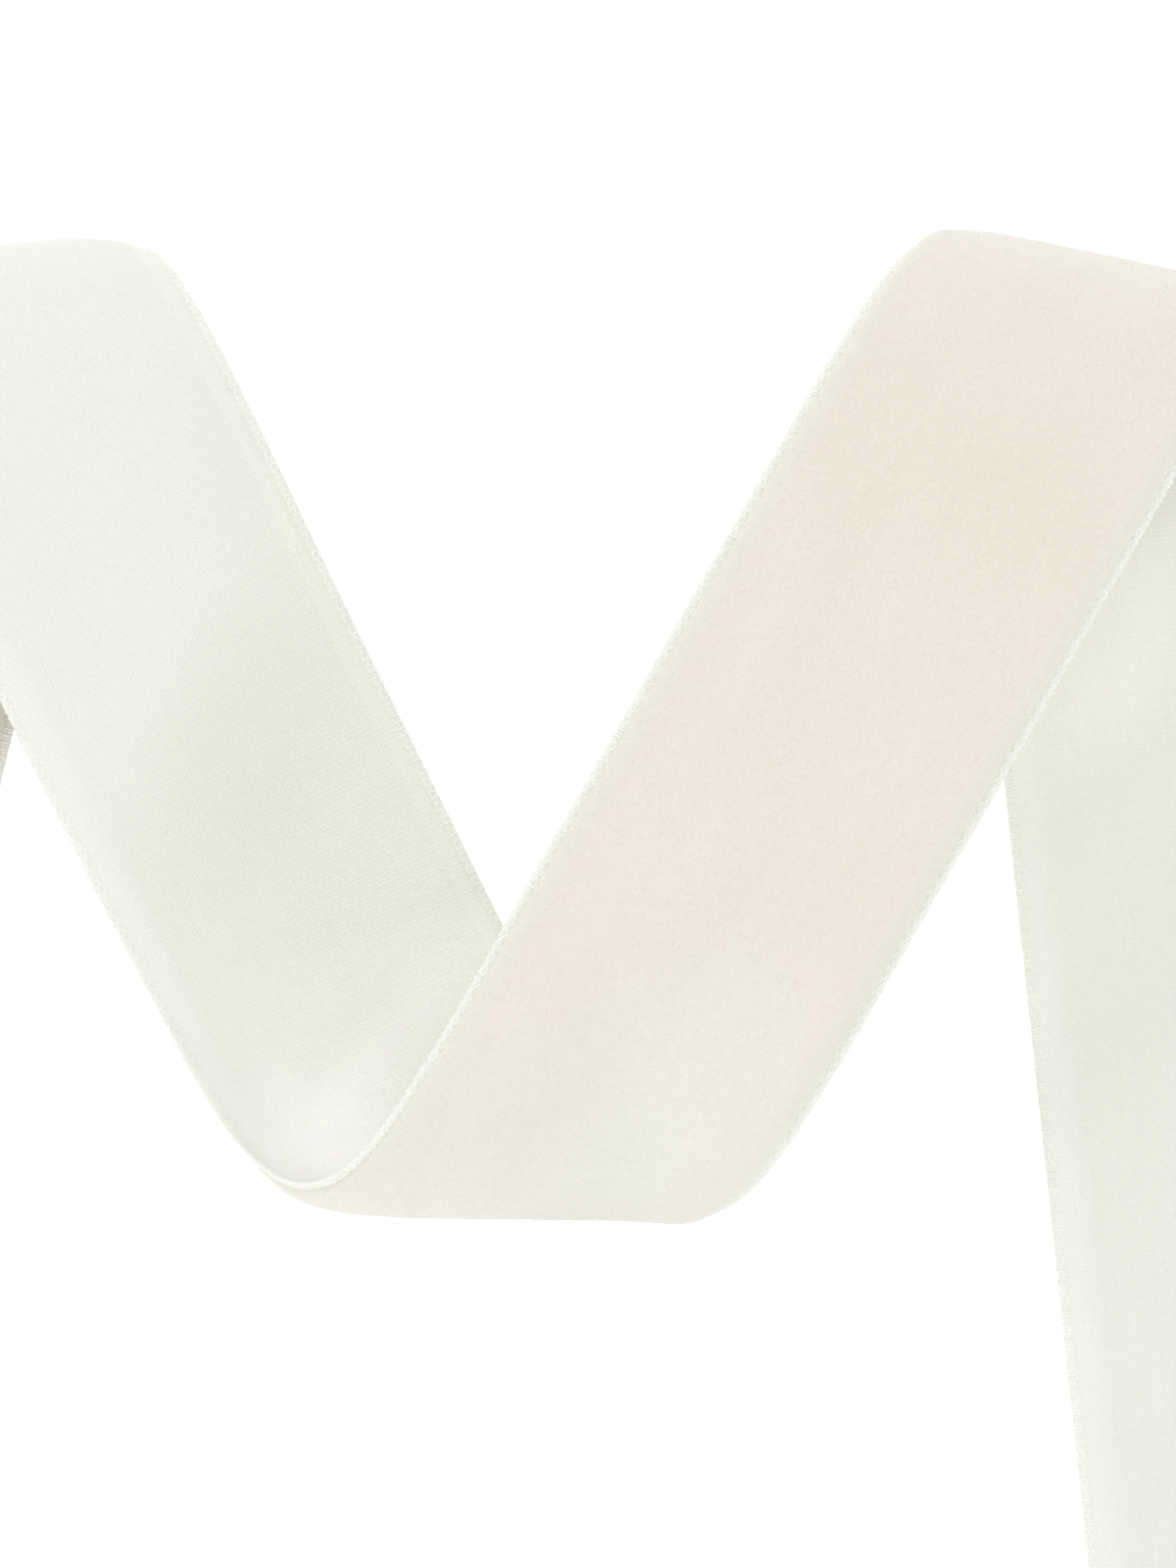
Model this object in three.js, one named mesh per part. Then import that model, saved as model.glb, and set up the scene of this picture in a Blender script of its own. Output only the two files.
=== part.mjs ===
// A cut length of woven velvet ribbon, lying on a surface in three loops that show its pile and its
// back by turns. Millimetres and degrees, +Z up, the surface at z = 0. Seen from above, the ribbon
// runs up its left leg, over the top left loop, down the left arm, through the bottom loop, up the
// front arm, over the top right loop and down the tail.

import * as THREE from 'three';

const WIDTH = 25;
const THICKNESS = 1.2;

// Places along the ribbon are lengths from its resting point, where the left arm meets the surface.
const LEG_END = -145;
const TAIL_END = 220;
const RESTING_POINT = { x: -18.06, y: -14.09, z: 0.2, heading: -63.8, pitch: -9.9 };

// Each bend turns the ribbon most at its middle. Its edges lie further in than its middle by leftIn
// and rightIn, or flare outwards where these are below zero. The edges' curl takes reach times the
// bend's own length.
const BENDS = [
  { name: 'top left loop', at: -61.1, length: 30.9, turn: 191, leftIn: 0.2, rightIn: 1.8, reach: 2.8 },
  { name: 'left arm, upper sag', at: -32.7, length: 26, turn: -23.8, leftIn: 0, rightIn: 0, reach: 1 },
  { name: 'left arm, lower sag', at: -14.3, length: 40, turn: 20.8, leftIn: 0, rightIn: 0, reach: 1 },
  { name: 'bottom loop', at: 22.2, length: 62.7, turn: -176.3, leftIn: 1.5, rightIn: -0.4, reach: 1.1 },
  { name: 'front arm, crown', at: 72.7, length: 80, turn: -8.4, leftIn: 0, rightIn: 0, reach: 1 },
  { name: 'top right loop', at: 115.4, length: 41.6, turn: -164.2, leftIn: 1.1, rightIn: 0.8, reach: 1.05 },
];

// The line that the ribbon bends about crosses it at a slant from square, even between two rows.
const CREASES = [
  { name: 'leg, cut end', at: -145, slant: 0 },
  { name: 'leg', at: -125, slant: -23.4 },
  { name: 'top left loop, leg side', at: -75, slant: -23.4 },
  { name: 'top left loop, arm side', at: -60, slant: -19.1 },
  { name: 'left arm, upper part', at: -28, slant: -19 },
  { name: 'bottom loop, lower layer', at: 3, slant: -23 },
  { name: 'bottom loop, upper layer', at: 27.5, slant: -29.2 },
  { name: 'top right loop, upper layer', at: 99, slant: -17.7 },
  { name: 'top right loop, lower layer', at: 134, slant: -18.2 },
  { name: 'tail', at: 200, slant: -18.2 },
  { name: 'tail, cut end', at: 220, slant: 0 },
];

// The edges' curl grows towards the edge by this power of the distance from the middle line.
const CURL_POWER = 5;

// The surface takes up this much height softly before the ribbon lies flat on it.
const SETTLE = 0.3;

// The fineness of the solid.
const WALK_STEP = 0.5;
const RIB_TURN = 9;
const RIB_SPACING = 4;
const ACROSS = [-1, -0.94, -0.84, -0.65, -0.35, 0, 0.35, 0.65, 0.84, 0.94, 1];

const radians = THREE.MathUtils.degToRad;

// The share of a bend at a place: 1 at its middle and 0 at its two ends.
function bendShare(bend, at, reach) {
  const x = (at - bend.at) / (bend.length * reach);
  return Math.abs(x) < 0.5 ? Math.cos(Math.PI * x) : 0;
}

function curvatureAt(at) {
  const peak = (bend) => (radians(bend.turn) * Math.PI) / (2 * bend.length);
  return BENDS.reduce((sum, bend) => sum + peak(bend) * bendShare(bend, at, 1), 0);
}

function slantAt(at) {
  const last = CREASES.length - 1;
  const next = CREASES.findIndex((crease) => crease.at > at);
  const after = CREASES[next < 0 ? last : Math.max(next, 1)];
  const before = CREASES[(next < 0 ? last : Math.max(next, 1)) - 1];
  const share = THREE.MathUtils.smootherstep(at, before.at, after.at);
  return THREE.MathUtils.lerp(Math.tan(radians(before.slant)), Math.tan(radians(after.slant)), share);
}

// The inward curl of an edge, along the pile side's normal. side is -1 at the right edge, 1 at the left.
function curlAt(at, side) {
  const inward = (bend) => (side > 0 ? bend.leftIn : bend.rightIn) * Math.sign(bend.turn);
  const curl = BENDS.reduce((sum, bend) => sum + inward(bend) * bendShare(bend, at, bend.reach) ** 2, 0);
  return curl * Math.abs(side) ** CURL_POWER;
}

// The middle line's state: its place, and the directions along it, across to the left and out of the pile.
function restingState() {
  const heading = radians(RESTING_POINT.heading);
  const pitch = radians(RESTING_POINT.pitch);
  const level = Math.cos(pitch);
  const along = new THREE.Vector3(Math.cos(heading) * level, Math.sin(heading) * level, Math.sin(pitch));
  const across = new THREE.Vector3(0, 0, -1).cross(along).normalize();
  const place = new THREE.Vector3(RESTING_POINT.x, RESTING_POINT.y, RESTING_POINT.z);
  return { at: 0, place, along, across, pile: along.clone().cross(across) };
}

function creaseOf(state, at) {
  return state.across.clone().addScaledVector(state.along, slantAt(at));
}

// One short step along the ribbon, which turns about its crease by half before it and half after it.
function stepFrom(state, step) {
  const middle = state.at + step / 2;
  const crease = creaseOf(state, middle);
  const turn = -curvatureAt(middle) * crease.length() * step;
  const halfTurn = new THREE.Quaternion().setFromAxisAngle(crease.normalize(), turn / 2);
  const along = state.along.clone().applyQuaternion(halfTurn);
  return {
    at: state.at + step,
    place: state.place.clone().addScaledVector(along, step),
    along: along.applyQuaternion(halfTurn),
    across: state.across.clone().applyQuaternion(halfTurn).applyQuaternion(halfTurn),
    pile: state.pile.clone().applyQuaternion(halfTurn).applyQuaternion(halfTurn),
  };
}

function walkTo(end) {
  const steps = Math.round(Math.abs(end) / WALK_STEP);
  const states = [restingState()];
  for (let i = 0; i < steps; i += 1) {
    states.push(stepFrom(states[i], end / steps));
  }
  return states;
}

// Ribs stand closer together where the ribbon turns.
function ribStates() {
  const states = [...walkTo(LEG_END).reverse(), ...walkTo(TAIL_END).slice(1)];
  const ribs = [states[0]];
  let turned = 0;
  for (const state of states.slice(1)) {
    turned += Math.abs(curvatureAt(state.at)) * WALK_STEP;
    const far = state.at - ribs[ribs.length - 1].at >= RIB_SPACING;
    if (far || turned >= radians(RIB_TURN) || state === states[states.length - 1]) {
      ribs.push(state);
      turned = 0;
    }
  }
  return ribs;
}

// The surface holds the ribbon's middle layer half a thickness up, and lets it leave softly.
function settle(z) {
  const rest = THICKNESS / 2;
  const height = z - rest;
  if (height > SETTLE) return z;
  if (height < -SETTLE) return rest;
  return rest + (height + SETTLE) ** 2 / (4 * SETTLE);
}

function middlePoint(state, side) {
  const point = state.place.clone().addScaledVector(creaseOf(state, state.at), (side * WIDTH) / 2);
  point.addScaledVector(state.pile, curlAt(state.at, side));
  point.z = settle(point.z);
  return point;
}

// The normal on the pile side, from a point's neighbours in the grid of ribs and columns.
function pileNormal(grid, i, j) {
  const before = grid[Math.max(i - 1, 0)][j];
  const after = grid[Math.min(i + 1, grid.length - 1)][j];
  const right = grid[i][Math.max(j - 1, 0)];
  const left = grid[i][Math.min(j + 1, ACROSS.length - 1)];
  return after.clone().sub(before).cross(left.clone().sub(right)).normalize();
}

// Two skins half a thickness either side of the middle layer, closed along the edges and the cut ends.
function ribbonGeometry() {
  const grid = ribStates().map((state) => ACROSS.map((side) => middlePoint(state, side)));
  const columns = ACROSS.length;
  const count = grid.length * columns;
  const points = [];
  const faces = [];
  for (const lift of [THICKNESS / 2, -THICKNESS / 2]) {
    grid.forEach((rib, i) => {
      rib.forEach((point, j) => points.push(point.clone().addScaledVector(pileNormal(grid, i, j), lift)));
    });
  }
  const pile = (i, j) => i * columns + j;
  const back = (i, j) => count + pile(i, j);
  const addQuad = (a, b, c, d) => faces.push(a, b, c, a, c, d);
  for (let i = 0; i < grid.length - 1; i += 1) {
    for (let j = 0; j < columns - 1; j += 1) {
      addQuad(pile(i, j), pile(i + 1, j), pile(i + 1, j + 1), pile(i, j + 1));
      addQuad(back(i, j), back(i, j + 1), back(i + 1, j + 1), back(i + 1, j));
    }
    const left = columns - 1;
    addQuad(pile(i, 0), back(i, 0), back(i + 1, 0), pile(i + 1, 0));
    addQuad(pile(i, left), pile(i + 1, left), back(i + 1, left), back(i, left));
  }
  const tail = grid.length - 1;
  for (let j = 0; j < columns - 1; j += 1) {
    addQuad(pile(0, j), pile(0, j + 1), back(0, j + 1), back(0, j));
    addQuad(pile(tail, j), back(tail, j), back(tail, j + 1), pile(tail, j + 1));
  }
  const geometry = new THREE.BufferGeometry().setFromPoints(points);
  geometry.setIndex(faces);
  geometry.computeVertexNormals();
  return geometry;
}

// The origin is at the middle of the ribbon's outline seen from above, on the surface.
function centreOnSurface(geometry) {
  geometry.computeBoundingBox();
  const centre = geometry.boundingBox.getCenter(new THREE.Vector3());
  geometry.translate(-centre.x, -centre.y, 0);
  return geometry;
}

const velvet = new THREE.MeshStandardMaterial({ color: '#efede4', roughness: 0.9, metalness: 0 });
const ribbon = new THREE.Mesh(centreOnSurface(ribbonGeometry()), velvet);
ribbon.name = 'ribbon';

const part = new THREE.Group();
part.add(ribbon);

export default part;
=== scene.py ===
import math

import bpy
import numpy as np
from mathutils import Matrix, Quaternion, Vector, noise


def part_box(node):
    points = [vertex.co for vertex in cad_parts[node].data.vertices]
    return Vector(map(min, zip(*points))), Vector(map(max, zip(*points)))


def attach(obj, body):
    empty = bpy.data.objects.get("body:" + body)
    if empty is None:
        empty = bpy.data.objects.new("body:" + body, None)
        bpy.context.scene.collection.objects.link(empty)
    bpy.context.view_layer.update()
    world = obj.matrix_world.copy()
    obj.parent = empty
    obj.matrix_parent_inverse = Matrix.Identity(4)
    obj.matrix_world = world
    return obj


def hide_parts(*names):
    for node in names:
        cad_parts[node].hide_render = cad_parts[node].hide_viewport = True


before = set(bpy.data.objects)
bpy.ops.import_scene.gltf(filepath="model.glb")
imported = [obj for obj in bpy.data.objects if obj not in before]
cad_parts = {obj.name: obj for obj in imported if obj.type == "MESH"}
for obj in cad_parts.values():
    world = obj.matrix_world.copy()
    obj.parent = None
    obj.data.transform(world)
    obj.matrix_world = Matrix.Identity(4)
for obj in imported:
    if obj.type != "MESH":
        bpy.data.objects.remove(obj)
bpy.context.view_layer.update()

# The velvet ribbon is one woven strip, with a short cut pile on one face and a firm selvedge along
# both edges. It is made flat, as it was woven, with the pile side up. Then it is laid along a path in
# three loops without stretching, so that its pile and its woven back show by turns.
MM = 0.001
WIDTH = 25 * MM
HALF_WIDTH = WIDTH / 2
THICKNESS = 1.2 * MM

# Places along the ribbon are lengths from its resting point, where the left arm meets the surface.
LEG_END = -145 * MM
TAIL_END = 220 * MM
LENGTH = TAIL_END - LEG_END
WALK_STEP = 0.5 * MM
RESTING_PLACE = Vector((-18.06, -14.09, 0.2)) * MM
RESTING_HEADING = math.radians(-63.8)
RESTING_PITCH = math.radians(-9.9)

# name, middle and length of the bend in mm, turn in degrees, how far its left and right edges curl
# in, in mm, and over how much of its length they do
BENDS = (
    ("top left loop", -61.1, 30.9, 191, 0.2, 1.8, 2.8),
    ("left arm, upper sag", -32.7, 26, -23.8, 0, 0, 1),
    ("left arm, lower sag", -14.3, 40, 20.8, 0, 0, 1),
    ("bottom loop", 22.2, 62.7, -176.3, 1.5, -0.4, 1.1),
    ("front arm, crown", 72.7, 80, -8.4, 0, 0, 1),
    ("top right loop", 115.4, 41.6, -164.2, 1.1, 0.8, 1.05),
)

# name, place in mm, and slant from square, in degrees, of the line that the ribbon bends about
CREASES = (
    ("leg, cut end", -145, 0),
    ("leg", -125, -23.4),
    ("top left loop, leg side", -75, -23.4),
    ("top left loop, arm side", -60, -19.1),
    ("left arm, upper part", -28, -19),
    ("bottom loop, lower layer", 3, -23),
    ("bottom loop, upper layer", 27.5, -29.2),
    ("top right loop, upper layer", 99, -17.7),
    ("top right loop, lower layer", 134, -18.2),
    ("tail", 200, -18.2),
    ("tail, cut end", 220, 0),
)

# The edges' curl and wander grow towards the edge by these powers of the distance from the middle.
CURL_POWER = 5
WANDER_POWER = 8
EDGE_WANDER = 0.06 * MM
WANDER_PER_MM = 0.11

# The surface takes up this much height softly before the ribbon lies flat on it.
SETTLE = 0.3 * MM


def bend_share(at, middle, length):
    x = (at / MM - middle) / length
    return math.cos(math.pi * x) if abs(x) < 0.5 else 0.0


def curvature(at):
    return sum(
        math.radians(turn) * math.pi / (2 * length * MM) * bend_share(at, middle, length)
        for name, middle, length, turn, left_in, right_in, reach in BENDS
    )


def edge_curl(at):
    """How far the left and the right edge lie off the straight crease, towards the pile side."""
    curls = [0.0, 0.0]
    for name, middle, length, turn, *inward, reach in BENDS:
        share = bend_share(at, middle, length * reach) ** 2
        for side in (0, 1):
            curls[side] += math.copysign(1, turn) * inward[side] * MM * share
    return curls


def edge_wander(at):
    """How far the left and the right edge stray from a straight cut, as woven edges do."""
    along = at / MM * WANDER_PER_MM
    return [noise.noise((along, side * 5.0, 1.3)) * EDGE_WANDER for side in (1, -1)]


def crease_slope(at):
    places = [place * MM for name, place, slant in CREASES]
    slopes = [math.tan(math.radians(slant)) for name, place, slant in CREASES]
    i = min(max(sum(place <= at for place in places), 1), len(places) - 1)
    x = min(max((at - places[i - 1]) / (places[i] - places[i - 1]), 0.0), 1.0)
    smoother = x * x * x * (x * (6 * x - 15) + 10)
    return slopes[i - 1] + (slopes[i] - slopes[i - 1]) * smoother


def walk(end):
    """Stations from the resting point to one end: how far along, place, crease, pile side."""
    level = math.cos(RESTING_PITCH)
    heading = Vector((math.cos(RESTING_HEADING), math.sin(RESTING_HEADING), 0))
    along = heading * level + Vector((0, 0, math.sin(RESTING_PITCH)))
    across = Vector((0, 0, -1)).cross(along).normalized()
    pile = along.cross(across)
    place = RESTING_PLACE.copy()
    steps = round(abs(end) / WALK_STEP)
    step = end / steps
    stations = []
    for i in range(steps + 1):
        at = i * step
        stations.append((at, place.copy(), across + along * crease_slope(at), pile.copy()))
        crease = across + along * crease_slope(at + step / 2)
        turn = -curvature(at + step / 2) * crease.length * step
        half = Quaternion(crease, turn / 2)
        along = half @ along
        place = place + along * step
        along = half @ along
        across = half @ (half @ across)
        pile = half @ (half @ pile)
    return stations


stations = walk(LEG_END)[::-1] + walk(TAIL_END)[1:]
station_at = np.array([s[0] for s in stations])
station_place = np.array([s[1] for s in stations])
station_crease = np.array([s[2] for s in stations])
station_pile = np.array([s[3] for s in stations])
station_slope = np.array([crease_slope(at) for at in station_at])
station_curl = np.array([edge_curl(at) for at in station_at])
station_wander = np.array([edge_wander(at) for at in station_at])


def on_path(table, at):
    """A table that has a row for each station, read at any places along the path."""
    return np.stack([np.interp(at, station_at, column) for column in table.T], axis=-1)


def by_side(table, at, v):
    left, right = on_path(table, at).T
    return np.where(v > 0, left, right)


def middle_layer(at, v):
    """Where the layer halfway through the cloth lies, v to the left of its middle line."""
    points = on_path(station_place, at)
    points += v[:, None] * on_path(station_crease, at)
    curl = by_side(station_curl, at, v) * np.abs(v / HALF_WIDTH) ** CURL_POWER
    points += curl[:, None] * on_path(station_pile, at)
    height = points[:, 2] - THICKNESS / 2
    soft = (np.maximum(height, -SETTLE) + SETTLE) ** 2 / (4 * SETTLE)
    points[:, 2] = THICKNESS / 2 + np.where(height > SETTLE, height, soft)
    return points


def pile_direction(at, v):
    near = 0.05 * MM
    ahead = middle_layer(at + WALK_STEP, v) - middle_layer(at - WALK_STEP, v)
    left = middle_layer(at, v + near) - middle_layer(at, v - near)
    normal = np.cross(ahead, left)
    return normal / np.linalg.norm(normal, axis=-1, keepdims=True)


CREASE_ROUNDS = 20


def laid(x, v, lift):
    """Points of the flat cloth, x along it, v left of its middle line and lift above it, as it lies."""
    # Each round comes closer to where the crease through the point crosses the middle line.
    at = x
    for i in range(CREASE_ROUNDS):
        at = x - v * np.interp(at, station_at, station_slope)
    wander = by_side(station_wander, at, v) * np.abs(v / HALF_WIDTH) ** WANDER_POWER
    strayed = v + np.sign(v) * wander
    points = middle_layer(at, strayed) + lift[:, None] * pile_direction(at, v)
    points[:, 2] = np.maximum(points[:, 2], 0.0)
    return points


def lay(mesh):
    """Lays a flat mesh along the path. Its flat places stay with it, as the cloth's own map."""
    flat = np.empty(len(mesh.vertices) * 3)
    mesh.vertices.foreach_get("co", flat)
    x, v, lift = flat.reshape(-1, 3).T
    cloth = np.stack([(x - LEG_END) / LENGTH, (v + HALF_WIDTH) / WIDTH], axis=-1)
    corners = np.empty(len(mesh.loops), dtype=np.int32)
    mesh.loops.foreach_get("vertex_index", corners)
    mesh.uv_layers.new(name="cloth").data.foreach_set("uv", cloth[corners].ravel())
    mesh.vertices.foreach_set("co", laid(x, v, lift).ravel())
    mesh.update()


# The ribbon's own outline puts it in the frame: both are centred on the origin, seen from above.
POINTS_ACROSS = 9
skin_v = np.tile(np.linspace(-HALF_WIDTH, HALF_WIDTH, POINTS_ACROSS), len(station_at))
skin_at = np.repeat(station_at, POINTS_ACROSS)
skin_x = skin_at + skin_v * np.interp(skin_at, station_at, station_slope)
skin_lift = np.full(skin_v.shape, THICKNESS / 2)
skins = np.concatenate([laid(skin_x, skin_v, -skin_lift), laid(skin_x, skin_v, skin_lift)])
cad_low, cad_high = (np.array(corner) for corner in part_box("ribbon"))
shift = (cad_low + cad_high - skins.min(axis=0) - skins.max(axis=0)) / 2 * (1, 1, 0)
station_place += shift


class Signal:
    """A socket in a tree, on which arithmetic adds Math nodes."""

    def __init__(self, tree, socket):
        self.tree = tree
        self.socket = socket

    def math(self, operation, *values):
        inputs = dict(enumerate((self, *values)))
        return self.tree.add("ShaderNodeMath", {"operation": operation}, inputs)

    def __add__(self, other):
        return self.math("ADD", other)

    def __sub__(self, other):
        return self.math("SUBTRACT", other)

    def __mul__(self, other):
        return self.math("MULTIPLY", other)

    def __rsub__(self, other):
        return self * -1 + other

    __radd__ = __add__
    __rmul__ = __mul__


class Tree:
    """A node tree, with the one way in which its nodes are added."""

    def __init__(self, node_tree):
        self.node_tree = node_tree

    def add(self, kind, settings=None, inputs=None, output=0):
        node = self.node_tree.nodes.new(kind)
        for key, value in (settings or {}).items():
            setattr(node, key, value)
        for key, value in (inputs or {}).items():
            if isinstance(value, Signal):
                self.node_tree.links.new(value.socket, node.inputs[key])
            else:
                node.inputs[key].default_value = value
        return Signal(self, node.outputs[output]) if node.outputs else None


class Finish(Tree):
    """A material. Its patterns lie on the cloth's own map, which lay() gives in parts of one."""

    def __init__(self, name):
        self.material = bpy.data.materials.new(name)
        self.material.use_nodes = True
        self.material.node_tree.nodes.clear()
        super().__init__(self.material.node_tree)

    def cloth_map(self):
        """Places along the cloth from the leg's end and across it from the right edge, in mm."""
        uv = self.add("ShaderNodeUVMap", {"uv_map": "cloth"})
        x = self.add("ShaderNodeSeparateXYZ", inputs={0: uv}, output=0)
        y = self.add("ShaderNodeSeparateXYZ", inputs={0: uv}, output=1)
        return x * (LENGTH / MM), y * (WIDTH / MM)

    def point(self, x, y):
        return self.add("ShaderNodeCombineXYZ", inputs={0: x, 1: y})

    def grain(self, point, per_mm, detail=2.0):
        """Noise about 0 and mostly between -1 and 1."""
        inputs = {"Vector": point, "Scale": per_mm, "Detail": detail}
        return (self.add("ShaderNodeTexNoise", inputs=inputs) - 0.5) * 2.5

    def blend(self, share, first, second):
        settings = {"data_type": "RGBA", "clamp_factor": True}
        return self.add("ShaderNodeMix", settings, {0: share, 6: first, 7: second}, output=2)

    def tinted(self, share, colour, tint):
        settings = {"data_type": "RGBA", "blend_type": "MULTIPLY"}
        return self.add("ShaderNodeMix", settings, {0: share, 6: colour, 7: (*tint, 1)}, output=2)

    def fade(self, distance, full, gone):
        """1 up to the distance full, and softly down to 0 at gone."""
        settings = {"interpolation_type": "SMOOTHSTEP"}
        inputs = {"Value": distance, "From Min": gone, "From Max": full}
        return self.add("ShaderNodeMapRange", settings, inputs)

    def with_painted_shading(self, colour, x, y, places):
        """The colour with a soft oval tint of painted light and shade at each of the places."""
        for name, along, across, half_length, half_width, lean, tint in places:
            cosine, sine = math.cos(math.radians(lean)), math.sin(math.radians(lean))
            p = ((x - along) * cosine + (y - across) * sine) * (1 / half_length)
            q = ((y - across) * cosine - (x - along) * sine) * (1 / half_width)
            share = self.fade((p * p + q * q).math("SQRT"), 0.2, 1.0)
            colour = self.tinted(share, colour, tint)
        return colour

    def relief(self, height, depth):
        return self.add("ShaderNodeBump", inputs={"Height": height, "Distance": depth, "Strength": 1.0})

    def surface(self, inputs):
        shader = self.add("ShaderNodeBsdfPrincipled", inputs=inputs)
        self.add("ShaderNodeOutputMaterial", inputs={0: shader})
        return self.material


def woven_height(x, y, warp_pitch, weft_pitch):
    """A plain weave's height from 0 to 1: warp threads run along x, weft threads along y."""
    warp_wave = (y * (math.pi / warp_pitch)).math("SINE")
    weft_wave = (x * (math.pi / weft_pitch)).math("SINE")
    warp_over = warp_wave * weft_wave * 0.5 + 0.5
    warp = warp_over * warp_wave.math("ABSOLUTE")
    weft = (1 - warp_over) * weft_wave.math("ABSOLUTE")
    return warp.math("MAXIMUM", weft)


# Painted light and shade on the woven back: soft patches lighten it where the loops above shade it, and
# darken it in the left arm's dip, at the tail's top and over its low part.
# name, places along and across the cloth, half length and half width in mm, lean in degrees, tint
BACK_PAINTED_SHADING = (
    ("top left loop", 95, 12.5, 24, 18, 0, (0.995, 0.995, 1.025)),
    ("left arm, dip", 127, 11, 18, 9, 47, (0.94, 0.94, 0.935)),
    ("left arm, right edge", 144, 4, 11, 8, 0, (1.035, 1.035, 1.04)),
    ("left arm, under the front arm", 152.5, 12, 19, 5, 65, (1.09, 1.08, 1.12)),
    ("bottom loop, lower layer", 156, 18, 11, 12, 0, (1.04, 1.045, 1.05)),
    ("bottom loop, throat", 160.5, 18, 6, 11, 0, (1.1, 1.09, 1.07)),
    ("bottom loop, left edge", 157, 21, 12, 9, 0, (1.03, 1.025, 1.07)),
    ("tail, top", 271, 12.5, 16, 22, 0, (0.95, 0.95, 0.93)),
    ("tail, left side", 291, 16.5, 18, 7.5, 41, (1.1, 1.1, 1.1)),
    ("tail, low part", 350, 12.5, 24, 26, 0, (0.965, 0.965, 0.965)),
)


# The back is the ground cloth: a fine close plain weave of smooth yarn, with a soft lustre. It is paler
# towards the left selvedge, and in one narrow stripe by the right one.
# Its sizes are in mm, and a pair says where a fade is still full and where it is gone.
BACK_WARP_PITCH = 0.26
BACK_WEFT_PITCH = 0.32
BACK_BETWEEN_THREADS = (0.675, 0.675, 0.607, 1)
BACK_THREAD = (0.775, 0.775, 0.705, 1)
LEFT_EDGE_PALE = (1.2, 3.4)
LEFT_EDGE_PALE_TINT = (1.05, 1.05, 1.075)
STRIPE_FROM_EDGE = 1.3
STRIPE = (0.3, 0.8)
STRIPE_TINT = (1.03, 1.03, 1.03)


def ground_finish():
    weave = Finish("woven_back")
    x, y = weave.cloth_map()
    height = woven_height(x, y, BACK_WARP_PITCH, BACK_WEFT_PITCH)
    streak = weave.grain(weave.point(x * 0.12, y * 5), 1.0)
    cloud = weave.grain(weave.point(x, y), 0.12)
    fibre = weave.grain(weave.point(x, y), 9.0)
    shade = height * 0.4 + streak * 0.12 + cloud * 0.1 + fibre * 0.08 + 0.4
    colour = weave.blend(shade, BACK_BETWEEN_THREADS, BACK_THREAD)
    left_edge_pale = weave.fade(WIDTH / MM - y, *LEFT_EDGE_PALE)
    stripe = weave.fade((y - STRIPE_FROM_EDGE).math("ABSOLUTE"), *STRIPE)
    colour = weave.tinted(left_edge_pale, colour, LEFT_EDGE_PALE_TINT)
    colour = weave.tinted(stripe, colour, STRIPE_TINT)
    return weave.surface({
        # The base colour carries the painted light and shade of the back's patches.
        "Base Color": weave.with_painted_shading(colour, x, y, BACK_PAINTED_SHADING),
        "Roughness": 0.52 - height * 0.08,
        "Normal": weave.relief(height + fibre * 0.15, 0.04 * MM),
        "Specular IOR Level": 0.35,
        "Sheen Weight": 0.12,
        "Sheen Roughness": 0.35,
    })


# Painted light and shade on the pile: soft patches darken it under the bottom loop's lowest edge and on
# the front arm's upper part, shift it greener on the bottom loop's outer turn and the front arm's foot,
# and lighten it on the front arm's right side and the top right loop's crest.
# name, places along and across the cloth, half length and half width in mm, lean in degrees, tint
PILE_PAINTED_SHADING = (
    ("bottom loop, lowest edge", 172, 5, 10, 12, 0, (0.95, 0.945, 0.925)),
    ("bottom loop, outer turn", 178, 12.5, 19, 19, 0, (0.975, 1.01, 1.01)),
    ("front arm, foot", 187, 9, 21, 11, 0, (0.985, 1.012, 1.01)),
    ("front arm, right side", 192, 6, 15, 10, 0, (1.03, 1.04, 1.04)),
    ("front arm, upper part", 235, 12.5, 11, 22, 0, (0.985, 0.985, 0.98)),
    ("top right loop, crest", 257, 12, 10, 18, 0, (1.005, 1.015, 1.015)),
)


# The pile is cut short and stands close, so it scatters light softly, and its tone varies in long soft
# streaks where it was stroked. Its colour also takes the painted light and shade of the patches above.
# It is paler and cooler along both its sides, where the light passes through its tips.
PILE_BETWEEN_TUFTS = (0.684, 0.638, 0.56, 1)
PILE_TUFT = (0.779, 0.734, 0.656, 1)
PILE_SIDE = (0.705, 0.707, 0.632, 1)
PILE_SIDE_SHARE = 0.75
PILE_SIDE_FADE = (1.1, 2.3)


def pile_finish():
    nap = Finish("cut_pile")
    x, y = nap.cloth_map()
    tips = nap.grain(nap.point(x, y), 5.5, detail=3.0)
    tufts = nap.grain(nap.point(x * 0.8, y * 1.2), 1.6)
    stroke = nap.grain(nap.point(x * 0.35, y), 0.22)
    shade = 0.55 + tips * 0.3 + tufts * 0.14 + stroke * 0.2
    colour = nap.blend(shade, PILE_BETWEEN_TUFTS, PILE_TUFT)
    # The pile's colour takes the painted light and shade of its patches.
    colour = nap.with_painted_shading(colour, x, y, PILE_PAINTED_SHADING)
    from_edge = HALF_WIDTH / MM - (y - HALF_WIDTH / MM).math("ABSOLUTE")
    side = nap.fade(from_edge + tufts * 0.15, *PILE_SIDE_FADE)
    colour = nap.blend(side * PILE_SIDE_SHARE, colour, PILE_SIDE)
    return nap.surface({
        "Base Color": colour,
        "Roughness": 0.88 - tips * 0.04,
        "Normal": nap.relief(tips + tufts * 0.6, 0.05 * MM),
        "Specular IOR Level": 0.15,
        "Sheen Weight": 0.45,
        "Sheen Roughness": 0.45,
    })


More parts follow.
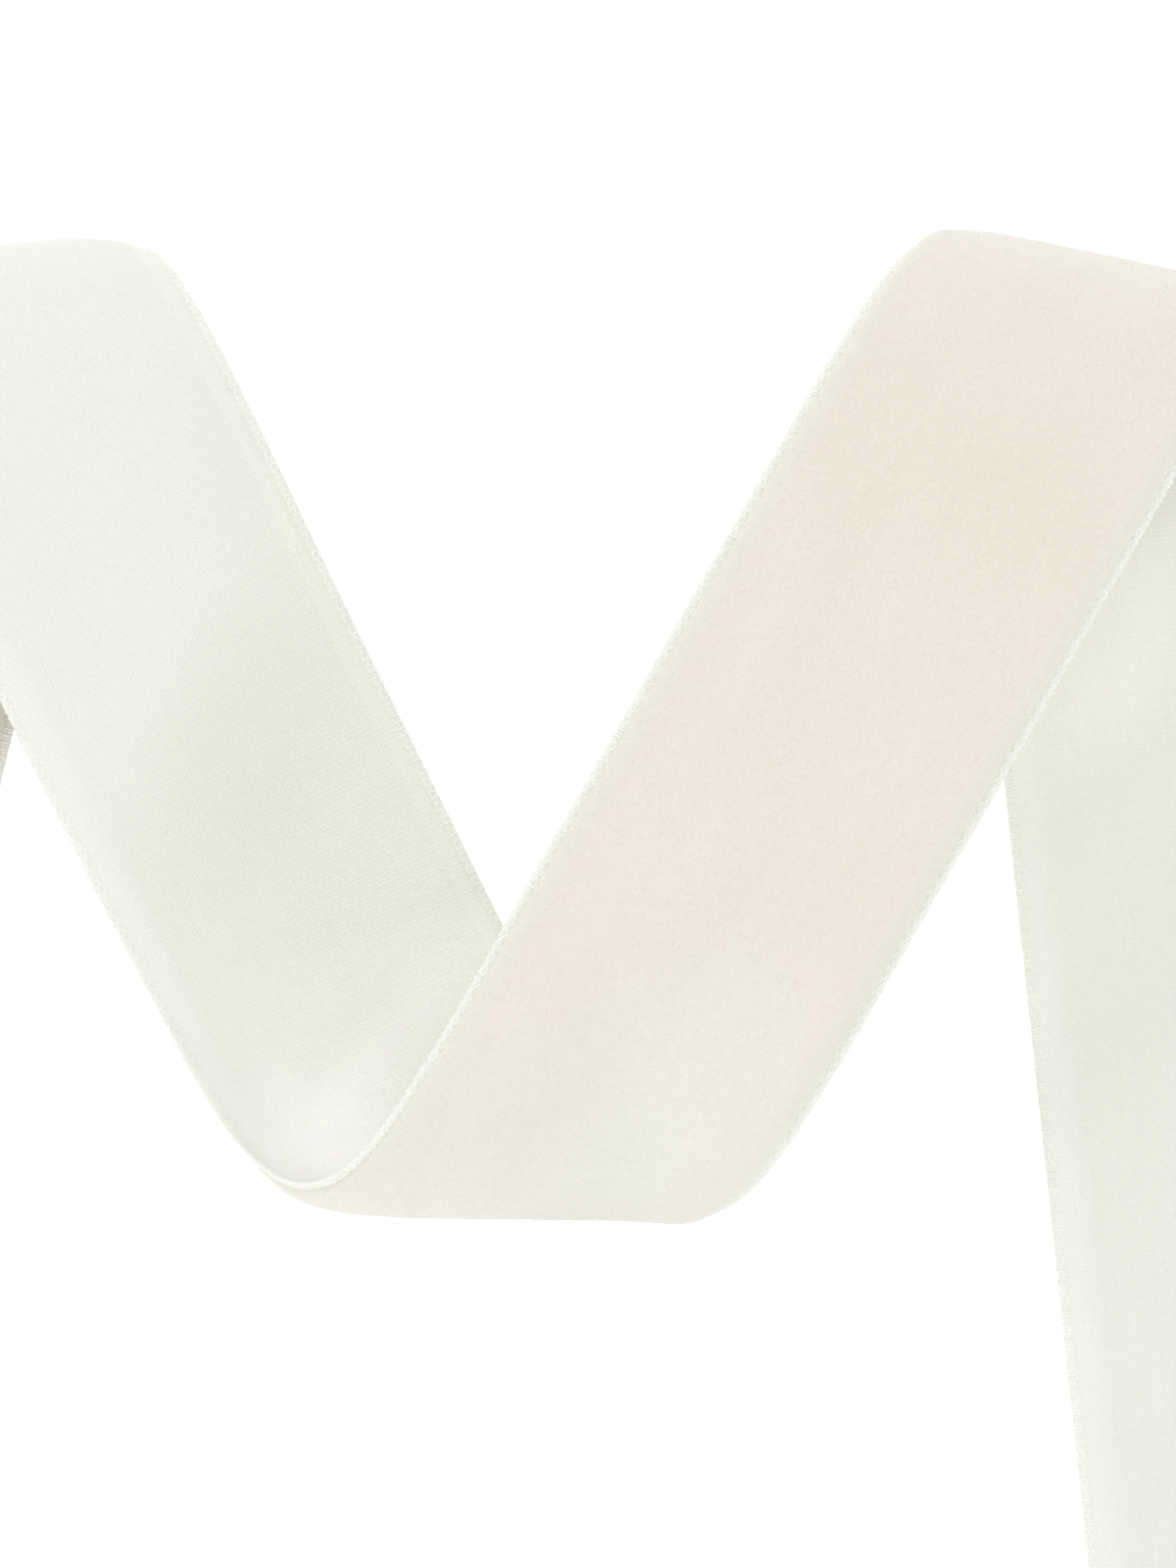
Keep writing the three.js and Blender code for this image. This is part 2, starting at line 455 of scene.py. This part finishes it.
# The selvedge is bare of pile. Its warp threads are firm and close, and paler than the ground's.
SELVEDGE_WARP_PITCH = 0.2
SELVEDGE_WEFT_PITCH = 0.5
SELVEDGE_BETWEEN_THREADS = (0.76, 0.76, 0.69, 1)
SELVEDGE_THREAD = (0.85, 0.85, 0.775, 1)


def selvedge_finish():
    edge = Finish("woven_selvedge")
    x, y = edge.cloth_map()
    height = woven_height(x, y, SELVEDGE_WARP_PITCH, SELVEDGE_WEFT_PITCH)
    fibre = edge.grain(edge.point(x, y), 8.0)
    share = height * 0.6 + fibre * 0.15 + 0.25
    return edge.surface({
        "Base Color": edge.blend(share, SELVEDGE_BETWEEN_THREADS, SELVEDGE_THREAD),
        "Roughness": 0.5,
        "Normal": edge.relief(height, 0.06 * MM),
        "Specular IOR Level": 0.35,
        "Sheen Weight": 0.1,
    })


# The woven ground lies at the back, the pile's foot starts where the bare selvedge ends, and the pile's
# shoulders are round.
GROUND = 0.36 * MM
SELVEDGE = 0.6 * MM
SHOULDER = 1.1 * MM
BACK_LEVEL = -THICKNESS / 2
GROUND_LEVEL = BACK_LEVEL + GROUND
PILE_LEVEL = THICKNESS / 2
PILE_FOOT = HALF_WIDTH - SELVEDGE
SELVEDGE_COLUMNS = 4
SHOULDER_COLUMNS = 7
PILE_COLUMNS = 58
BACK_COLUMNS = 30
NAP_DEPTH = 0.05 * MM

# The numbers of the finishes on the mesh. Where two meet, the face between them takes the higher one.
BACK_FACE = 0
PILE_FACE = 1
SELVEDGE_FACE = 2


def section():
    """The closed section of the flat cloth, as points of (v, height, finish)."""
    turns = np.linspace(0, math.pi / 2, SHOULDER_COLUMNS)
    rise = PILE_LEVEL - GROUND_LEVEL
    crown = PILE_FOOT - SHOULDER
    left_side = [
        (crown + SHOULDER * math.cos(a), GROUND_LEVEL + rise * math.sin(a), PILE_FACE)
        for a in turns
    ]
    top = [(v, PILE_LEVEL, PILE_FACE) for v in np.linspace(-crown, crown, PILE_COLUMNS)[1:-1]]
    half_round = np.linspace(math.pi / 2, -math.pi / 2, 2 * SELVEDGE_COLUMNS)
    middle = BACK_LEVEL + GROUND / 2
    left_edge = [
        (PILE_FOOT + SELVEDGE * math.cos(a), middle + GROUND / 2 * math.sin(a), SELVEDGE_FACE)
        for a in half_round
    ]
    back = [(v, BACK_LEVEL, BACK_FACE) for v in np.linspace(PILE_FOOT, -PILE_FOOT, BACK_COLUMNS)]
    right_edge = [(-v, h, finish) for v, h, finish in left_edge[::-1]]
    right_side = [(-v, h, finish) for v, h, finish in left_side]
    return right_edge[1:-1] + right_side + top + left_side[::-1] + left_edge[1:-1] + back


def nap_dip(x, v):
    """How far the pile's top lies below its full height at a place of the cloth, from 0 to 1."""
    broad = noise.noise((x / MM * 0.25, v / MM * 0.5, 3.1))
    fine = noise.noise((x / MM * 0.9, v / MM * 1.1, 7.7))
    return min(max(0.5 + 0.5 * broad + 0.35 * fine, 0.0), 1.0)


def flat_ribbon():
    """The cloth as woven. Its rings of points lie along the lines that it will bend about."""
    ring = section()
    count = len(ring)
    points, faces, finishes = [], [], []
    for at, slope in zip(station_at, station_slope):
        for v, h, finish in ring:
            x = at + v * slope
            share = max(0.0, (h - GROUND_LEVEL) / (PILE_LEVEL - GROUND_LEVEL))
            points.append((x, v, h - NAP_DEPTH * share * nap_dip(x, v)))
    for i in range(len(station_at) - 1):
        for j in range(count):
            k = (j + 1) % count
            faces.append((i * count + j, (i + 1) * count + j, (i + 1) * count + k, i * count + k))
            finishes.append(max(ring[j][2], ring[k][2]))
    last = (len(station_at) - 1) * count
    faces.append(tuple(range(count)))
    faces.append(tuple(range(last + count - 1, last - 1, -1)))
    finishes += [BACK_FACE, BACK_FACE]
    mesh = bpy.data.meshes.new("velvet_ribbon")
    mesh.from_pydata(points, [], faces)
    mesh.polygons.foreach_set("material_index", finishes)
    mesh.polygons.foreach_set("use_smooth", [True] * len(faces))
    return mesh


ribbon_mesh = flat_ribbon()
pile = pile_finish()
for finish in (ground_finish(), pile, selvedge_finish()):
    ribbon_mesh.materials.append(finish)
woven_flat = ribbon_mesh.copy()
lay(ribbon_mesh)
ribbon = bpy.data.objects.new("velvet_ribbon", ribbon_mesh)
bpy.context.scene.collection.objects.link(ribbon)
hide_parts("ribbon")
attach(ribbon, "root")


# The weft yarn turns back around the outermost warp threads at every pick. That leaves a row of small
# even loops over both edges, like a fine overcast stitch, which is the palest part of the ribbon.
PICK_PITCH = 0.5 * MM
YARN_RADIUS = 0.085 * MM
YARN_COLOUR = (0.84, 0.84, 0.785, 1)

# The middle of the yarn lies this far inside the selvedge's own skin, at its side and at its faces.
SUNK_AT_SIDE = 0.02 * MM
SUNK_AT_FACES = 0.01 * MM

# Each loop turns by up to this angle either way, and takes its three sizes times these shares.
LOOP_TURN = 0.12
LOOP_LEAST = (0.9, 0.94, 0.95)
LOOP_MOST = (1.1, 1.03, 1.1)


class Pattern(Tree):
    """A Geometry Nodes tree for what repeats over the flat cloth, with its sizes as named inputs."""

    def __init__(self, name, sizes):
        super().__init__(bpy.data.node_groups.new(name, "GeometryNodeTree"))
        sockets = self.node_tree.interface
        sockets.new_socket("Geometry", in_out="INPUT", socket_type="NodeSocketGeometry")
        sockets.new_socket("Geometry", in_out="OUTPUT", socket_type="NodeSocketGeometry")
        for size, value in sizes.items():
            kind = "NodeSocketInt" if isinstance(value, int) else "NodeSocketFloat"
            sockets.new_socket(size, in_out="INPUT", socket_type=kind)
        self.sizes = sizes
        self.entry = self.node_tree.nodes.new("NodeGroupInput")

    def given(self, name):
        return Signal(self, self.entry.outputs[name])

    def vector(self, x=0.0, y=0.0, z=0.0):
        return self.add("ShaderNodeCombineXYZ", inputs={0: x, 1: y, 2: z})

    def scatter(self, low, high, seed):
        """A random vector for each instance."""
        inputs = {"Min": low, "Max": high, "Seed": seed}
        return self.add("FunctionNodeRandomValue", {"data_type": "FLOAT_VECTOR"}, inputs)

    def piece(self, shape, finish, base):
        """A plain mesh object of what the tree makes on a base mesh, laid as the ribbon is."""
        real = self.add("GeometryNodeRealizeInstances", inputs={0: shape})
        dressed = self.add("GeometryNodeSetMaterial", inputs={"Geometry": real, "Material": finish})
        self.add("NodeGroupOutput", inputs={0: dressed})
        piece = bpy.data.objects.new(self.node_tree.name, base)
        bpy.context.scene.collection.objects.link(piece)
        modifier = piece.modifiers.new("pattern", "NODES")
        modifier.node_group = self.node_tree
        for socket in self.node_tree.interface.items_tree:
            if socket.name in self.sizes:
                modifier[socket.identifier] = self.sizes[socket.name]
        finished = piece.evaluated_get(bpy.context.evaluated_depsgraph_get())
        piece.data = bpy.data.meshes.new_from_object(finished)
        piece.modifiers.clear()
        lay(piece.data)
        return piece


def weft_finish():
    yarn = Finish("weft_yarn")
    return yarn.surface({
        "Base Color": YARN_COLOUR,
        "Roughness": 0.5,
        "Specular IOR Level": 0.35,
        "Sheen Weight": 0.15,
    })


def selvedge_loops():
    picks = Pattern("selvedge_loops", {
        "Pitch": PICK_PITCH,
        "Picks": round((LENGTH - PICK_PITCH) / PICK_PITCH),
        "First Pick": LEG_END + PICK_PITCH,
        "Edge": PILE_FOOT,
        "Level": BACK_LEVEL + GROUND / 2,
        "Reach": SELVEDGE - SUNK_AT_SIDE,
        "Half Height": GROUND / 2 - SUNK_AT_FACES,
        "Yarn Radius": YARN_RADIUS,
        "Seed": 5,
    })
    given = picks.given
    bow = picks.add("GeometryNodeCurveArc", {"mode": "RADIUS"}, {
        "Resolution": 9,
        "Radius": 1.0,
        "Start Angle": -math.pi / 2,
        "Sweep Angle": math.pi,
    })
    stand = (math.pi / 2, 0, math.pi / 2)
    shape = picks.vector(given("Reach"), given("Half Height"), 1.0)
    bow = picks.add("GeometryNodeTransform", inputs={"Geometry": bow, "Scale": shape, "Rotation": stand})
    yarn = picks.add("GeometryNodeCurvePrimitiveCircle", inputs={
        "Resolution": 4,
        "Radius": given("Yarn Radius"),
    })
    loop = picks.add("GeometryNodeCurveToMesh", inputs={
        "Curve": bow,
        "Profile Curve": yarn,
        "Fill Caps": True,
    })
    rows = picks.add("GeometryNodeJoinGeometry")
    for side, turn in ((1, 0.0), (-1, math.pi)):
        line = picks.add("GeometryNodeMeshLine", inputs={
            "Count": given("Picks"),
            "Start Location": picks.vector(given("First Pick"), given("Edge") * side, given("Level")),
            "Offset": picks.vector(given("Pitch")),
        })
        row = picks.add("GeometryNodeInstanceOnPoints", inputs={
            "Points": line,
            "Instance": loop,
            "Rotation": picks.scatter((0, 0, turn - LOOP_TURN), (0, 0, turn + LOOP_TURN), given("Seed")),
            "Scale": picks.scatter(LOOP_LEAST, LOOP_MOST, given("Seed") + side),
        })
        picks.node_tree.links.new(row.socket, rows.socket.node.inputs[0])
    return picks.piece(rows, weft_finish(), bpy.data.meshes.new("picks"))


loops = selvedge_loops()
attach(loops, "root")


# The cut tips of the pile stand close together over the whole face and lean a little each way, which
# gives the face its faint grain and the ribbon a soft outline. Each tip stands for a tuft of fibres.
TIP_SPACING = 0.42 * MM
TIP_RADIUS = 0.16 * MM
TIP_HEIGHT = 0.26 * MM
TIP_DEPTH = 0.17 * MM
TIP_COLOUR = (0.775, 0.74, 0.67, 1)

# A tip's foot is sunk by its depth, and the rest of its height stands out of the pile.
# A tip leans by up to this angle each way, to any side, and takes its three sizes times these shares.
TIP_LEAN = 0.5
FULL_TURN = 6.28
TIP_LEAST = (0.8, 0.8, 0.85)
TIP_MOST = (1.2, 1.2, 1.15)


def tip_finish():
    fibre = Finish("pile_tips")
    return fibre.surface({
        "Base Color": TIP_COLOUR,
        "Roughness": 0.9,
        "Specular IOR Level": 0.1,
        "Sheen Weight": 0.5,
        "Sheen Roughness": 0.5,
    })


def pile_tips():
    nap = Pattern("pile_tips", {
        "Spacing": TIP_SPACING,
        "Most per Square Metre": 5.0e6,
        "Tip Radius": TIP_RADIUS,
        "Tip Height": TIP_HEIGHT,
        "Depth": TIP_DEPTH,
        "Seed": 9,
    })
    given = nap.given
    on_pile = nap.add("GeometryNodeMaterialSelection", inputs={"Material": pile})
    spread = {
        "Mesh": given("Geometry"),
        "Selection": on_pile,
        "Distance Min": given("Spacing"),
        "Density Max": given("Most per Square Metre"),
        "Seed": given("Seed"),
    }
    roots = nap.add("GeometryNodeDistributePointsOnFaces", {"distribute_method": "POISSON"}, spread)
    upright = Signal(nap, roots.socket.node.outputs["Rotation"])
    lean = nap.scatter((-TIP_LEAN, -TIP_LEAN, 0), (TIP_LEAN, TIP_LEAN, FULL_TURN), given("Seed"))
    stand = nap.add("FunctionNodeRotateRotation", {"rotation_space": "LOCAL"}, {0: upright, 1: lean})
    tip = nap.add("GeometryNodeMeshCone", {"fill_type": "NGON"}, {
        "Vertices": 3,
        "Radius Top": 0.0,
        "Radius Bottom": given("Tip Radius"),
        "Depth": given("Tip Height"),
    })
    sunk = nap.vector(0.0, 0.0, given("Depth") * -1)
    tip = nap.add("GeometryNodeTransform", inputs={"Geometry": tip, "Translation": sunk})
    tips = nap.add("GeometryNodeInstanceOnPoints", inputs={
        "Points": roots,
        "Instance": tip,
        "Rotation": stand,
        "Scale": nap.scatter(TIP_LEAST, TIP_MOST, given("Seed") + 1),
    })
    return nap.piece(tips, tip_finish(), woven_flat)


tips = pile_tips()
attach(tips, "root")

# The camera looks straight down, from as far as a product photograph is taken. The path is written from
# the middle of the picture, so the camera is shifted as the ribbon is.
CAMERA_HEIGHT = 0.6
PIXELS_PER_METRE = 14220
IMAGE_HEIGHT = 1600
SENSOR = 36

camera = bpy.data.objects.new("camera", bpy.data.cameras.new("camera"))
camera.location = (shift[0], shift[1], CAMERA_HEIGHT)
camera.data.sensor_width = SENSOR
camera.data.lens = PIXELS_PER_METRE * CAMERA_HEIGHT / IMAGE_HEIGHT * SENSOR
camera.data.clip_start = 0.01
bpy.context.scene.collection.objects.link(camera)
bpy.context.scene.camera = camera

# The ribbon lies on a white table top, which shows no edge and next to no shadow. The top glows a
# little, so that it stays white.
TABLE_REACH = 3.0
TABLE_WHITE = (0.93, 0.93, 0.93, 1)
TABLE_GLOW = 0.28

table = bpy.data.meshes.new("table_top")
corners = [(x * TABLE_REACH, y * TABLE_REACH, 0) for x, y in ((-1, -1), (1, -1), (1, 1), (-1, 1))]
table.from_pydata(corners, [], [(0, 1, 2, 3)])
table_top = bpy.data.objects.new("table_top", table)
bpy.context.scene.collection.objects.link(table_top)
white = Finish("white_table")
table.materials.append(white.surface({
    "Base Color": TABLE_WHITE,
    "Roughness": 0.9,
    "Specular IOR Level": 0.0,
    "Emission Color": (1, 1, 1, 1),
    "Emission Strength": TABLE_GLOW,
}))

# Broad soft studio light comes from above and from all four sides, most of it from the top and left.
# The room's own even light fills in.
# name, place, size in metres, power in watts
LAMPS = (
    ("overhead", (0.0, 0.05, 0.9), 0.9, 3.33),
    ("far side", (0.0, 0.85, 0.28), 0.5, 1.83),
    ("near side", (0.0, -0.7, 0.55), 0.6, 0.55),
    ("near side, low", (0.0, -0.85, 0.28), 0.5, 1.42),
    ("left side", (-0.8, 0.0, 0.4), 0.6, 2.57),
    ("right side", (0.8, 0.0, 0.4), 0.6, 1.9),
)
ROOM_LIGHT = 0.51

for name, place, size, power in LAMPS:
    light = bpy.data.lights.new(name, "AREA")
    light.shape = "DISK"
    light.size = size
    light.energy = power
    lamp = bpy.data.objects.new(name, light)
    lamp.location = place
    lamp.rotation_euler = Vector(place).to_track_quat("Z", "Y").to_euler()
    bpy.context.scene.collection.objects.link(lamp)

world = bpy.data.worlds.new("room")
world.use_nodes = True
background = world.node_tree.nodes["Background"].inputs
background["Color"].default_value = (1, 1, 1, 1)
background["Strength"].default_value = ROOM_LIGHT
bpy.context.scene.world = world
bpy.context.scene.view_settings.view_transform = "Standard"
